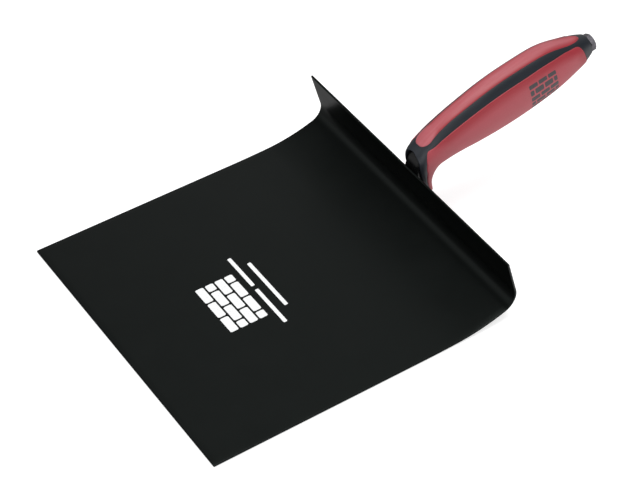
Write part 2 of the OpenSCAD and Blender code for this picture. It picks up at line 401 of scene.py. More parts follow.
def ramp(nt, fac, stops):
    r = add(nt, "ShaderNodeValToRGB")
    els = r.color_ramp.elements
    while len(els) < len(stops):
        els.new(0.5)
    for e, (pos, col) in zip(els, stops):
        e.position = pos
        e.color = (col[0], col[1], col[2], 1.0)
    nt.links.new(fac, r.inputs["Fac"])
    return r.outputs["Color"]


def mix_color(nt, fac, a, b, mode="MIX"):
    m = add(nt, "ShaderNodeMix", data_type="RGBA", blend_type=mode)
    if isinstance(fac, float):
        m.inputs[0].default_value = fac
    else:
        nt.links.new(fac, m.inputs[0])
    for sock, v in ((m.inputs[6], a), (m.inputs[7], b)):
        if isinstance(v, tuple):
            sock.default_value = (v[0], v[1], v[2], 1.0)
        else:
            nt.links.new(v, sock)
    return m.outputs[2]


def math_node(nt, op, a, b=None):
    m = add(nt, "ShaderNodeMath", operation=op)
    for i, v in enumerate((a, b)):
        if v is None:
            continue
        if isinstance(v, (int, float)):
            m.inputs[i].default_value = v
        else:
            nt.links.new(v, m.inputs[i])
    return m.outputs[0]


def bump(nt, bsdf, height, strength, distance, after=None):
    b = add(nt, "ShaderNodeBump")
    b.inputs["Strength"].default_value = strength
    b.inputs["Distance"].default_value = distance
    nt.links.new(height, b.inputs["Height"])
    if after is not None:
        nt.links.new(after, b.inputs["Normal"])
    nt.links.new(b.outputs["Normal"], bsdf.inputs["Normal"])
    return b.outputs["Normal"]


def split_x(nt, vec):
    n = add(nt, "ShaderNodeSeparateXYZ")
    nt.links.new(vec, n.inputs["Vector"])
    return n.outputs["X"]


def coating_material():
    """Satin black baked coating: fine orange peel, cloudy gloss, faint rubs along the throwing direction."""
    mat = bpy.data.materials.new("blade_coating")
    nt, b = nodes_of(mat)
    v = coords(nt, 1.0)
    cloud = noise(nt, v, 38.0, 4.0, 0.6)
    peel = noise(nt, v, 1500.0, 2.0, 0.5)
    vs = coords(nt, (900.0, 26.0, 900.0))
    rub = noise(nt, vs, 1.0, 4.0, 0.6)
    rub_mask = remap(nt, rub, 0.60, 0.80, 0.0, 1.0)
    patch = remap(nt, noise(nt, v, 22.0, 2.0, 0.5), 0.52, 0.68, 0.0, 1.0)
    rubs = math_node(nt, "MULTIPLY", rub_mask, patch)
    base = ramp(nt, cloud, [(0.30, (0.0006, 0.0009, 0.0008)), (0.70, (0.0010, 0.0013, 0.0012))])
    col = mix_color(nt, math_node(nt, "MULTIPLY", rubs, 0.22), base, (0.008, 0.009, 0.009))
    nt.links.new(col, b.inputs["Base Color"])
    rough = math_node(nt, "ADD", remap(nt, cloud, 0.3, 0.7, 0.29, 0.34), math_node(nt, "MULTIPLY", rubs, -0.05))
    nt.links.new(rough, b.inputs["Roughness"])
    b.inputs["Specular IOR Level"].default_value = 0.15
    b.inputs["Specular Tint"].default_value = (0.86, 1.0, 0.95, 1.0)
    h = math_node(nt, "ADD", math_node(nt, "MULTIPLY", peel, 0.7), math_node(nt, "MULTIPLY", cloud, 0.3))
    bump(nt, b, h, 0.22, 0.00006)
    return mat


def enamel_material():
    """Gloss black enamel over a forging: shallow hammer waviness under a smooth coat."""
    mat = bpy.data.materials.new("shank_coating")
    nt, b = nodes_of(mat)
    v = coords(nt, 1.0)
    wave = noise(nt, v, 160.0, 2.0, 0.5)
    fine = noise(nt, v, 1400.0, 2.0, 0.5)
    nt.links.new(ramp(nt, wave, [(0.3, (0.0030, 0.0032, 0.0034)), (0.7, (0.0048, 0.0050, 0.0052))]), b.inputs["Base Color"])
    nt.links.new(remap(nt, wave, 0.3, 0.7, 0.24, 0.32), b.inputs["Roughness"])
    b.inputs["Specular IOR Level"].default_value = 0.22
    h = math_node(nt, "ADD", wave, math_node(nt, "MULTIPLY", fine, 0.15))
    bump(nt, b, h, 0.35, 0.00025)
    return mat


def rivet_material():
    """The blade's coating over the rivets, a touch cloudier."""
    mat = bpy.data.materials.new("rivet_coating")
    nt, b = nodes_of(mat)
    v = coords(nt, 1.0)
    cloud = noise(nt, v, 420.0, 3.0, 0.55)
    peel = noise(nt, v, 1500.0, 2.0, 0.5)
    nt.links.new(ramp(nt, cloud, [(0.3, (0.0006, 0.0009, 0.0008)), (0.72, (0.0012, 0.0015, 0.0014))]), b.inputs["Base Color"])
    nt.links.new(remap(nt, cloud, 0.3, 0.7, 0.29, 0.34), b.inputs["Roughness"])
    b.inputs["Specular IOR Level"].default_value = 0.15
    b.inputs["Specular Tint"].default_value = (0.86, 1.0, 0.95, 1.0)
    bump(nt, b, peel, 0.22, 0.00006)
    return mat


def charcoal_material():
    """Charcoal polypropylene: fine spark-eroded grain, slightly bluish, a touch of gloss variation."""
    mat = bpy.data.materials.new("core_charcoal")
    nt, b = nodes_of(mat)
    v = coords(nt, 1.0)
    cloud = noise(nt, v, 90.0, 3.0, 0.55)
    grain = noise(nt, v, 2600.0, 2.0, 0.6)
    base = ramp(nt, cloud, [(0.3, (0.0092, 0.0119, 0.0166)), (0.7, (0.0124, 0.0153, 0.0208))])
    col = mix_color(nt, remap(nt, grain, 0.35, 0.65, 0.0, 0.25), base, (0.017, 0.021, 0.027))
    nt.links.new(col, b.inputs["Base Color"])
    nt.links.new(remap(nt, grain, 0.3, 0.7, 0.38, 0.47), b.inputs["Roughness"])
    b.inputs["Specular IOR Level"].default_value = 0.42
    bump(nt, b, grain, 0.22, 0.00005)
    return mat


def red_material(name="grip_red", painted_light=None):
    """Soft red elastomer: fine matt grain, faint mottling and a soft sheen at the edges."""
    mat = bpy.data.materials.new(name)
    nt, b = nodes_of(mat)
    v = coords(nt, 1.0)
    cloud = noise(nt, v, 70.0, 4.0, 0.6)
    speck = noise(nt, v, 1900.0, 2.0, 0.6)
    base = ramp(nt, cloud, [(0.28, (0.318, 0.027, 0.040)), (0.72, (0.362, 0.037, 0.053))])
    col = mix_color(nt, remap(nt, speck, 0.40, 0.62, 0.0, 0.22), base, (0.40, 0.062, 0.080))
    if painted_light:
        # painted highlight: the middle of the panel paler, in soft streaks along the grip; painted shade: its rims
        # deep red
        near, far, amount, pale = painted_light
        at = add(nt, "ShaderNodeAttribute", attribute_name="rim_mm")
        inside = remap(nt, at.outputs["Fac"], near, far, 0.0, 1.0)
        # painted shade: deep red towards the panel's rims
        col = mix_color(nt, math_node(nt, "SUBTRACT", 1.0, inside), col, (0.290, 0.0180, 0.0285))
        streak = remap(nt, noise(nt, coords(nt, (420.0, 38.0, 38.0)), 1.0, 4.0, 0.6), 0.30, 0.72, 0.35, 1.0)
        # painted highlight: a pale tint mixed into the middle of the panel in streaks
        col = mix_color(nt, math_node(nt, "MULTIPLY", math_node(nt, "MULTIPLY", inside, streak), amount), col, pale)
    nt.links.new(col, b.inputs["Base Color"])
    nt.links.new(remap(nt, cloud, 0.3, 0.7, 0.46, 0.56), b.inputs["Roughness"])
    b.inputs["Specular IOR Level"].default_value = 0.5
    b.inputs["Sheen Weight"].default_value = 0.12
    b.inputs["Sheen Roughness"].default_value = 0.5
    b.inputs["Sheen Tint"].default_value = (1.0, 0.72, 0.75, 1.0)
    b.inputs["Subsurface Weight"].default_value = 0.06
    b.inputs["Subsurface Radius"].default_value = (0.0012, 0.0003, 0.0003)
    b.inputs["Subsurface Scale"].default_value = 1.0
    bump(nt, b, speck, 0.20, 0.00006)
    return mat


def steel_material():
    """Darkened zinc plate on the end fixing."""
    mat = bpy.data.materials.new("fixing_steel")
    nt, b = nodes_of(mat)
    v = coords(nt, 1.0)
    cloud = noise(nt, v, 500.0, 3.0, 0.6)
    turn = noise(nt, coords(nt, (300.0, 4200.0, 4200.0)), 1.0, 2.0, 0.5)
    nt.links.new(ramp(nt, cloud, [(0.3, (0.062, 0.059, 0.067)), (0.7, (0.114, 0.108, 0.121))]), b.inputs["Base Color"])
    b.inputs["Metallic"].default_value = 0.85
    nt.links.new(remap(nt, turn, 0.3, 0.7, 0.34, 0.50), b.inputs["Roughness"])
    bump(nt, b, turn, 0.20, 0.00005)
    return mat


def print_material(name, light, dark, hole):
    """A thin pad print with a few pinholes and a slightly ragged film."""
    mat = bpy.data.materials.new(name)
    nt, b = nodes_of(mat)
    v = coords(nt, 1.0)
    film = noise(nt, v, 900.0, 3.0, 0.6)
    pin = noise(nt, v, 3200.0, 1.0, 0.5)
    base = ramp(nt, film, [(0.3, dark), (0.6, light)])
    col = mix_color(nt, remap(nt, pin, 0.74, 0.80, 0.0, 1.0), base, hole)
    nt.links.new(col, b.inputs["Base Color"])
    nt.links.new(remap(nt, film, 0.3, 0.7, 0.45, 0.62), b.inputs["Roughness"])
    bump(nt, b, film, 0.15, 0.00003)
    return mat


M_COAT = coating_material()
M_ENAMEL = enamel_material()
M_RIVET = rivet_material()
M_CORE = charcoal_material()
# both panels carry painted rim shade and a painted highlight in the middle; the top panel, facing the light, gets a
# stronger and paler painted highlight
M_RED = red_material("grip_red", (2.6, 6.6, 0.12, (0.36, 0.12, 0.14)))
M_RED_TOP = red_material("grip_red_top_painted_highlight", (0.9, 3.4, 0.40, (0.46, 0.20, 0.22)))
M_STEEL = steel_material()
M_WHITE = print_material("print_white", (0.84, 0.85, 0.85), (0.74, 0.75, 0.75), (0.10, 0.10, 0.10))
M_INK = print_material("print_dark", (0.040, 0.032, 0.038), (0.022, 0.020, 0.024), (0.30, 0.05, 0.06))

for n, mat in (("blade", M_COAT), ("shank", M_ENAMEL), ("lip_rivets", M_RIVET), ("handle_core", M_CORE),
               ("grip_top", M_RED_TOP), ("grip_under", M_RED), ("butt_washer", M_STEEL), ("end_nut", M_STEEL)):
    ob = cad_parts[n]
    ob.data.materials.clear()
    ob.data.materials.append(mat)


def finish_piece(ob, mat, slot, *nodes):
    ob.data.materials.clear()
    ob.data.materials.append(mat)
    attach(ob, "root")
    if nodes:
        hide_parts(*nodes)
    return ob


# ------------------------------------------------------------------ blade
def build_blade():
    r = 0.50
    # along the middle of the sheet: (y, z, heading, half thickness, pull along the heading)
    rows = []

    def put(y, z, th, h, pull=0.0):
        rows.append((y, z, th, h, pull))

    steps = 5
    for i in range(steps + 1):
        a = 90.0 * i / steps              # 0 at the very edge
        put(-FLAT / 2 + r * (1 - cosd(a)), T, 0.0, T / 2 - r * (1 - sind(a)), -(1.0 - i / steps))
    for y in (-58.0, -50.0, -35.0, -20.0, 0.0, 20.0, 40.0, 55.0):
        put(y, T, 0.0, T / 2)
    p, th = (FLAT / 2, T), 0.0
    put(p[0], p[1], 0.0, T / 2)
    for (rad, ang), n in zip(ARCS, (5, 26, 44)):
        for i in range(1, n + 1):
            q = arc_point(p, th, rad, ang * i / n)
            put(q[0], q[1], th + ang * i / n, T / 2)
        p = arc_point(p, th, rad, ang)
        th += ang
    for d in (3.0, 8.0, 13.0, 18.0, 21.5):
        put(p[0] + d * cosd(th), p[1] + d * sind(th), th, T / 2)
    for i in range(steps + 1):
        a = 90.0 * (steps - i) / steps    # 90 inside, 0 at the very edge
        d = LIP - r + r * cosd(a)
        put(p[0] + d * cosd(th), p[1] + d * sind(th), th, T / 2 - r * (1 - sind(a)), i / steps)
    sections = []
    for i in range(steps + 1):
        a = 90.0 * i / steps
        sections.append((HALF_W - r + r * cosd(a), r * (1 - sind(a))))
    # from the edge inwards the section grows to full size
    xs = [(-x, d) for x, d in sections]
    inner_x = [-85.0 + 10.0 * k for k in range(18)]
    xs += [(x, 0.0) for x in inner_x]
    xs += [(x, d) for x, d in reversed(sections)]
    verts = []
    m = len(rows)
    for x, d in xs:
        inner, outer = [], []
        for y, z, th, h, pull in rows:
            # y, z lie on the inner face; the middle is half a sheet outside it
            my, mz = y + (T / 2) * sind(th), z - (T / 2) * cosd(th)
            my -= pull * d * cosd(th)
            mz -= pull * d * sind(th)
            hh = max(0.02, h - d)
            inner.append((x, my - hh * sind(th), mz + hh * cosd(th)))
            outer.append((x, my + hh * sind(th), mz - hh * cosd(th)))
        verts += inner + outer[::-1]
    n = 2 * m
    faces = grid_faces(len(xs), n)
    for base in (0, (len(xs) - 1) * n):
        for j in range(m - 1):
            faces.append((base + j, base + j + 1, base + n - 2 - j, base + n - 1 - j))
    ob = new_object("blade_sheet", verts, faces)
    return tidy(ob, 50.0, merge=0.002)


blade = finish_piece(build_blade(), M_COAT, "blade_coating", "blade")


# ------------------------------------------------------------------ shank
def bar_path(step=0.6):
    """Points and headings of the bar in the lip's frame: up the lip, over the bend, along the tang."""
    out = []
    n = int((LEG_TOP - 1.4) / step)
    for i in range(n + 1):
        out.append((LEG_Y, 1.4 + (LEG_TOP - 1.4) * i / n, 90.0))
    m = int(math.radians(TURN) * BEND_C / step)
    for i in range(1, m + 1):
        a = TURN * i / m
        out.append((LEG_Y + BEND_C - BEND_C * cosd(a), LEG_TOP + BEND_C * sind(a), 90.0 - a))
    k = int(BAR_RUN / step)
    h = 90.0 - TURN
    for i in range(1, k + 1):
        d = BAR_RUN * i / k
        out.append((BEND_END[0] + d * cosd(h), BEND_END[1] + d * sind(h), h))
    return out


def sweep_bar(name, w, d, r, path):
    sec = rounded_rect(d, w, r, 7)
    verts = []
    for y, z, h in path:
        for a, b in sec:
            verts.append(lip_pt(b, y + a * sind(h), z - a * cosd(h)))
    n = len(sec)
    faces = grid_faces(len(path), n)
    faces.append(tuple(range(n)))
    faces.append(tuple((len(path) - 1) * n + j for j in range(n)))
    return new_object(name, verts, faces)


FOOT_W, FOOT_H, FOOT_T = 62.0, 12.5, 3.0


def build_shank():
    foot = prism("foot", rounded_rect(FOOT_W, FOOT_H - 1, 4.0, 10),
                 lambda x, y, z: lip_pt(x, T + z, 1 + (FOOT_H - 1) / 2 + y), 0.0, FOOT_T, 0.7, 4)
    bar = sweep_bar("bar", BAR_W, BAR_D, 1.9, bar_path())
    tang = revolve("tang", [(TANG_D / 2 - 0.5, BAR_RUN - 1.5), (TANG_D / 2, BAR_RUN - 1.0), (TANG_D / 2, TANG_L - 4.0), (TANG_D / 2 - 0.6, TANG_L - 3.0)],
                   tang_pt, 64)
    for o in (foot, bar, tang):
        tidy(o)
    ob = joined("shank_forging", [foot, bar, tang])
    remesh(ob, 0.42, 8, 0.5)
    return tidy(ob, 60.0)


shank = finish_piece(build_shank(), M_ENAMEL, "shank_coating", "shank")


def build_thread():
    """The threaded end, with its real helix and a chamfered tip."""
    z0, z1, pitch, n = TANG_L - 3.4, TANG_L + WASHER_T + NUT_H + 0.4, 1.0, 72
    m = int((z1 - z0) / 0.08)
    verts = []
    for i in range(m + 1):
        z = z0 + (z1 - z0) * i / m
        for j in range(n):
            a = 360.0 * j / n
            ph = ((z / pitch) - a / 360.0) % 1.0
            tri = abs(2 * ph - 1)
            r = THREAD_D / 2 - 0.52 * min(1.0, max(0.0, tri * 1.25 - 0.12))
            r = min(r, THREAD_D / 2 - 0.75 + (z1 - z) * 1.1)
            verts.append(tang_pt(r * cosd(a), r * sind(a), z))
    faces = grid_faces(m + 1, n)
    faces.append(tuple(range(n)))
    faces.append(tuple(m * n + j for j in range(n)))
    return tidy(new_object("threaded_end", verts, faces), 50.0)


thread = finish_piece(build_thread(), M_STEEL, "fixing_steel", "shank")


# ------------------------------------------------------------------ rivets
RIVET_D, RIVET_HEAD = 3.5, 1.2


def build_rivets():
    parts = []
    hr = RIVET_D * 0.9
    sr = (hr * hr + RIVET_HEAD * RIVET_HEAD) / (2 * RIVET_HEAD)
    for x0 in (-24.5, -13.0, 13.0, 24.5):
        prof = [(1.2, -0.015), (RIVET_D / 2 + T - 0.20, -0.035), (RIVET_D / 2 + T - 0.06, -0.010), (RIVET_D / 2 + T, 0.05),
                (RIVET_D / 2, T), (RIVET_D / 2, T + FOOT_T - 0.10), (hr - 0.12, T + FOOT_T - 0.10), (hr, T + FOOT_T), (hr, T + FOOT_T + 0.06)]
        a1 = math.degrees(math.asin(min(1.0, hr / sr)))
        for i in range(1, 12):
            a = a1 * (1 - i / 12.0)
            prof.append((sr * sind(a) if a > 0 else 0.02, T + FOOT_T + RIVET_HEAD - sr + sr * cosd(a)))
        prof.append((0.12, T + FOOT_T + RIVET_HEAD))
        o = revolve("r", prof, lambda x, y, z, x0=x0: lip_pt(x0 + x, z, 1 + 4.5 + y), 56)
        parts.append(tidy(o, 40.0))
    return tidy(joined("lip_rivet_heads", parts), 40.0)


rivets = finish_piece(build_rivets(), M_RIVET, "rivet_coating", "lip_rivets")


# ------------------------------------------------------------------ grip core
TUCK = 7.5


def ring_of_core(u, ns=26, nu=44, nt=14):
    # the recesses are a little smaller than the panels, whose rolled rims close on the skin
    in_top = TOP_FROM + 0.14 < u < TOP_TO - 0.12
    in_under = UNDER_FROM + 0.06 < u < UNDER_TO - 0.10
    w1 = wt(max(TOP_FROM + 0.004, min(TOP_TO - 0.003, u)))
    w2 = wu(max(0.0, min(UNDER_TO - 0.003, u)))
    w1 -= min(TUCK, w1 * 0.5)
    w2 -= min(TUCK, w2 * 0.5)
    a, b = 90 - w1, -90 + w2
    tt = seat(u) if in_top else 0.0
    tu = seat(u) if in_under else 0.0
    pts = [skin(u, a + (b - a) * i / ns) for i in range(ns + 1)]
    pts += [skin(u, -90 - w2 * i / nu, tu) for i in range(-nu, nu + 1)]
    pts += [skin(u, 180 - (b + (a - b) * i / ns)) for i in range(ns + 1)]
    pts += [skin(u, 90 - w1 * i / nt, tt) for i in range(-nt, nt + 1)]
    return pts


def rolled_bead(body, hw, top, r, rad):
    """A bead along the edge that the arch cuts in the body's front face."""
    bm = bmesh.new()
    bm.from_mesh(body.data)
    tree = BVHTree.FromBMesh(bm)
    line = [(-hw, 3.0 + 0.4 * i, -1.0, 0.0) for i in range(int((top - r - 3.0) / 0.4))]
    line += [(-hw + r - r * cosd(a), top - r + r * sind(a), -cosd(a), sind(a)) for a in range(0, 90, 4)]
    line += [(x, top, 0.0, 1.0) for x in np.linspace(-hw + r, hw - r, 5)]
    line += [(hw - r + r * sind(a), top - r + r * cosd(a), sind(a), cosd(a)) for a in range(4, 91, 4)]
    line += [(hw, top - r - 0.4 * i, 1.0, 0.0) for i in range(1, int((top - r - 3.0) / 0.4))]
    ahead = (Vector(lip_pt(0, 1, 0)) - Vector(lip_pt(0, 0, 0))).normalized()
    pts = []
    for x, z, ox, oz in line:
        # a little outside the opening, and a little under the skin
        o = Vector(lip_pt(x + 0.42 * ox, -40.0, z + 0.42 * oz)) * MM
        hit, normal, _, _ = tree.ray_cast(o, ahead)
        if hit is not None and normal.dot(ahead) < -0.12:
            pts.append(hit / MM - normal * 0.40)
    bm.free()
    for _ in range(6):
        pts = [pts[0]] + [(pts[i - 1] + 2 * pts[i] + pts[i + 1]) / 4 for i in range(1, len(pts) - 1)] + [pts[-1]]
    verts, n = [], 14
    side = Vector((0, 0, 1))
    for i, p in enumerate(pts):
        t = (pts[min(i + 1, len(pts) - 1)] - pts[max(i - 1, 0)]).normalized()
        side = (side - t * side.dot(t)).normalized()
        over = t.cross(side)
        for j in range(n):
            a = 360.0 * j / n
            verts.append(p + rad * (side * cosd(a) + over * sind(a)))
    faces = grid_faces(len(pts), n)
    faces.append(tuple(range(n)))
    faces.append(tuple((len(pts) - 1) * n + j for j in range(n)))
    return tidy(new_object("bead", verts, faces))


def build_core():
    us = [0.0, UNDER_FROM - 0.004, UNDER_FROM + 0.004]
    us += [UNDER_FROM + (TOP_FROM - 0.01 - UNDER_FROM) * i / 60 for i in range(1, 60)]
    us += [TOP_FROM - 0.004]
    us += [TOP_FROM + 0.004 + (TOP_FULL - TOP_FROM) * (1 - cosd(90 * i / 16)) for i in range(17)]
    us += [TOP_FULL + (UNDER_FALL - TOP_FULL) * i / 80 for i in range(1, 81)]
    us += [UNDER_TO - 0.003 - (UNDER_TO - UNDER_FALL) * (1 - cosd(90 * i / 16)) for i in range(16)]
    us += [UNDER_TO + 0.003, TOP_TO - 0.06, TOP_TO - 0.03, TOP_TO - 0.012, TOP_TO - 0.003, TOP_TO + 0.003]
    us += [TOP_TO + (LAST - TOP_TO) * i / 10 for i in range(1, 11)]
    us = sorted(set(round(u, 5) for u in us))
    rings = [ring_of_core(u) for u in us]
    n = len(rings[0])
    verts = [p for r in rings for p in r]
    faces = grid_faces(len(rings), n)
    faces.append(tuple(range(n)))
    faces.append(tuple((len(rings) - 1) * n + j for j in range(n)))
    ob = tidy(new_object("grip_core_moulding", verts, faces))
    bm = bmesh.new()
    bm.from_mesh(ob.data)
    bmesh.ops.triangulate(bm, faces=[f for f in bm.faces if len(f.verts) > 4])
    bm.to_mesh(ob.data)
    bm.free()
    # the collar's arched opening, cut forward from the bar's middle
    hw, top, r = 6.4, LIP + 6.1, 6.3
    arch = [(-hw, -6.0), (hw, -6.0)]
    arch += [(hw - r + r * cosd(a), top - r + r * sind(a)) for a in range(0, 91, 6)]
    arch += [(-hw + r + r * cosd(a), top - r + r * sind(a)) for a in range(90, 181, 6)]
    bead = rolled_bead(ob, hw, top, r, 0.62)

    def bar_room():
        return tidy(sweep_bar("c2", BAR_W + 0.3, BAR_D + 0.3, 1.9, [(LEG_Y, -6.0, 90.0)] + bar_path()))

    def foot_room():
        return tidy(prism("c3", rounded_rect(FOOT_W + 0.6, FOOT_H - 1 + 0.6, 4.0, 6),
                          lambda x, y, z: lip_pt(x, T + z, 1 + (FOOT_H - 1) / 2 + y), -0.3, FOOT_T + 0.3))

    cut(ob, tidy(prism("c1", arch, lambda x, y, z: lip_pt(x, 11.0 - z, y), 0.0, 36.0)))
    for o in (ob, bead):
        cut(o, bar_room())
        cut(o, foot_room())
    ob = joined("grip_core_moulding", [ob, bead])
    remesh(ob, 0.34, 6, 0.5)
    return tidy(ob, 60.0)


core = finish_piece(build_core(), M_CORE, "core_charcoal", "handle_core")


# ------------------------------------------------------------------ soft panels
def panel(name, us, mid, width, n, inner_lift=0.08):
    """A panel between the stations us, with an eased rim all round."""
    # outline samples on the skin, for the distance to the rim
    rim = []
    for u in us:
        w = width(u)
        rim.append(skin(u, mid - w))
        rim.append(skin(u, mid + w))
    for u in (us[0], us[-1]):
        w = width(u)
        for i in range(161):
            rim.append(skin(u, mid + w * (2 * i / 160 - 1)))
    kd = KDTree(len(rim))
    for i, p in enumerate(rim):
        kd.insert(Vector(p), i)
    kd.balance()
    r = 0.75

    def lift(d):
        if d >= r:
            return -PROUD
        return -PROUD + (r - math.sqrt(max(0.0, r * r - (r - d) ** 2)))

    # steps across: closer together at both edges
    vs = []
    k = 13
    for i in range(k):
        vs.append(-1 + 0.12 * (i / k) ** 1.5)
    vs += [-0.88 + 1.76 * i / n for i in range(n + 1)]
    for i in range(k - 1, -1, -1):
        vs.append(1 - 0.12 * (i / k) ** 1.5)
    m = len(vs)
    outer, inner, away = [], [], []
    for u in us:
        w = width(u)
        for v in vs:
            ph = mid + w * v
            d = kd.find(Vector(skin(u, ph)))[2]
            # round the neck the panel's end counts as far from the rim: no painted rim shade there, and the painted
            # highlight reaches it
            away.append(d + 6.0 * max(0.0, 3.7 - u))
            outer.append(skin(u, ph, lift(d)))
            inner.append(skin(u, ph, seat(u) - inner_lift))
    verts = outer + inner
    N = len(outer)
    faces = grid_faces(len(us), m, wrap=False)
    faces += [(a + N, d + N, c + N, b + N) for a, b, c, d in grid_faces(len(us), m, wrap=False)]
    for i in range(len(us) - 1):
        for j in (0, m - 1):
            a, b = i * m + j, (i + 1) * m + j
            faces.append((a, b, b + N, a + N))
    for i in (0, len(us) - 1):
        for j in range(m - 1):
            a, b = i * m + j, i * m + j + 1
            faces.append((a, b, b + N, a + N))
    ob = new_object(name, verts, faces)
    # millimetres from the panel's rim, which set the painted rim shade and the painted highlight
    at = ob.data.attributes.new("rim_mm", "FLOAT", "POINT")
    at.data.foreach_set("value", np.array(away + [0.0] * N, dtype=np.float32))
    return tidy(ob, 55.0, merge=0.0001)


def ended(a, b, lead_a, lead_b, n_mid, k=16):
    """Stations from a to b, closing up towards rounded ends of the given leads."""
    out = []
    if lead_a:
        out += [a + lead_a * (1 - cosd(90 * i / k)) for i in range(k)]
        out[0] = a + lead_a * 0.0004
    lo = a + lead_a
    hi = b - lead_b
    out += [lo + (hi - lo) * i / n_mid for i in range(n_mid + 1)]
    if lead_b:
        tail = [b - lead_b * (1 - cosd(90 * i / k)) for i in range(k)]
        tail[0] = b - lead_b * 0.0004
        out += tail[::-1]
    return out


top_us = ended(TOP_FROM, TOP_TO, TOP_FULL - TOP_FROM, TOP_TO - TOP_FALL, 110)
grip_top = finish_piece(panel("grip_panel_top", top_us, 90.0, wt, 30), M_RED_TOP, "grip_red", "grip_top")

und_us = [UNDER_FROM + x for x in (0.0, 0.004, 0.010, 0.018, 0.028, 0.042, 0.06, 0.09)]
und_us += ended(UNDER_FROM + 0.12, UNDER_TO, 0.0, UNDER_TO - UNDER_FALL, 210, 26)
grip_under = finish_piece(panel("grip_panel_under", und_us, -90.0, wu, 96), M_RED, "grip_red", "grip_under")


# ------------------------------------------------------------------ end fixing
def build_washer():
    ro, ri = (NUT_AF + 0.6) / 2, THREAD_D / 2 + 0.15
    z0, z1, e = TANG_L, TANG_L + WASHER_T, 0.15
    prof = [(ri, z0 + 0.02), (ro - e, z0 + 0.02), (ro, z0 + e), (ro, z1 - e), (ro - e, z1 - 0.01), (ri + e, z1 - 0.01), (ri, z1 - e)]
    return tidy(revolve("butt_washer_ring", prof, tang_pt, 96, closed=True), 50.0)


def build_nut():
    z0, z1 = TANG_L + WASHER_T + 0.01, TANG_L + WASHER_T + NUT_H
    n, m = 180, 22
    verts = []
    rings = 0
    for i in range(m + 1):
        z = z0 + (z1 - z0) * i / m
        ring = []
        for j in range(n):
            a = 360.0 * j / n
            hexr = (NUT_AF / 2) / cosd(((a + 30) % 60) - 30)
            cone = NUT_AF / 2 - 0.12 + (z1 - z) * 1.75
            rr = min(hexr, cone)
            ring.append((rr * cosd(a), rr * sind(a), z))
        verts += ring
        rings += 1
    ri = THREAD_D / 2 + 0.02
    for rad, z in ((ri + 0.45, z1), (ri, z1 - 0.45), (ri, z0 + 0.2), (ri + 0.2, z0)):
        for j in range(n):
            a = 360.0 * j / n
            verts.append((rad * cosd(a), rad * sind(a), z))
        rings += 1
    faces = grid_faces(rings, n)
    for j in range(n):
        k = (j + 1) % n
        faces.append(((rings - 1) * n + j, (rings - 1) * n + k, k, j))
    return tidy(new_object("end_nut_hex", [tang_pt(*v) for v in verts], faces), 28.0)


washer = finish_piece(build_washer(), M_STEEL, "fixing_steel", "butt_washer")
nut = finish_piece(build_nut(), M_STEEL, "fixing_steel", "end_nut")


# ------------------------------------------------------------------ generic printed marks
def brick_rows(x0, x1, y0, y1, courses, per, gap):
    """Rectangles of a plain brick bond: (x, y, w, h) each."""
    h = (y1 - y0 - gap * (courses - 1)) / courses
    out = []
    unit = (x1 - x0 + gap) / per
    for c in range(courses):
        y = y0 + c * (h + gap)
        edges = [x0]
        off = 0.0 if c % 2 == 0 else unit / 2
        x = x0 + (unit - off if off else unit)
        while x < x1 - 0.2 * unit:
            edges.append(x)
            x += unit
        edges.append(x1 + gap)
        for a, b in zip(edges, edges[1:]):
            out.append((a, y, b - a - gap, h))
    return out


def patch_on(place, x, y, w, h, r, rise, skirt, nx, ny):
    """A thin rounded plate over (x, y, w, h); place(x, y, z) wraps it on the surface."""
    parts = []
    # rounded outline by squeezing the grid's rows at the corners
    verts = []
    for j in range(ny + 1):
        fy = j / ny
        yy = y + h * fy
        dy = min(fy, 1 - fy) * h
        inset = r - math.sqrt(max(0.0, r * r - (r - dy) ** 2)) if dy < r else 0.0
        for i in range(nx + 1):
            xx = x + inset + (w - 2 * inset) * i / nx
            verts.append(place(xx, yy, rise))
    n0 = len(verts)
    loop = [i for i in range(nx + 1)] + [(nx + 1) * j + nx for j in range(1, ny + 1)]
    loop += [(nx + 1) * ny + i for i in range(nx - 1, -1, -1)] + [(nx + 1) * j for j in range(ny - 1, 0, -1)]
    faces = grid_faces(ny + 1, nx + 1, wrap=False)
    low = {}
    for k in loop:
        j, i = divmod(k, nx + 1)
        fy = j / ny
        dy = min(fy, 1 - fy) * h
        inset = r - math.sqrt(max(0.0, r * r - (r - dy) ** 2)) if dy < r else 0.0
        xx = x + inset + (w - 2 * inset) * i / nx
        low[k] = len(verts)
        verts.append(place(xx, y + h * fy, skirt))
    for a, b in zip(loop, loop[1:] + loop[:1]):
        faces.append((a, b, low[b], low[a]))
    bottom = tuple(low[k] for k in loop)
    faces.append(bottom)
    return verts, faces


def print_piece(name, rects, place, r, rise, skirt, cell):
    verts, faces = [], []
    for x, y, w, h in rects:
        # rows crowd towards the top and bottom so the corners are round
        v, f = patch_on(place, x, y, w, h, min(r, h / 2, w / 2), rise, skirt, max(2, int(w / cell)), max(6, int(h / cell)))
        b = len(verts)
        verts += v
        faces += [tuple(i + b for i in q) for q in f]
    return tidy(new_object(name, verts, faces), 40.0)


marks = brick_rows(-16.5, 19.0, -8.0, 14.5, 4, 3, 1.1)
marks += [(-27.0, 18.4, 24.0, 2.2), (0.0, 18.4, 28.0, 2.2), (-18.5, 25.4, 36.5, 2.2)]
mark_blade = finish_piece(
    print_piece("print_mark_blade", marks, lambda x, y, z: (x, y, T + z), 0.45, 0.03, -0.05, 2.0),
    M_WHITE, "print_white")

U0, PH0 = 7.55, -13.0


def on_side(x, y, z):
    """Millimetres along the grip and up its side, from the middle of the mark."""
    return skin(U0 + x / 18.4, PH0 + y * 4.35, -PROUD - z)


side = brick_rows(-9.9, 8.0, -5.9, 7.3, 5, 3, 0.75)
mark_grip = finish_piece(
    print_piece("print_mark_grip", side, on_side, 0.3, 0.02, -0.15, 0.6), M_INK, "core_charcoal")

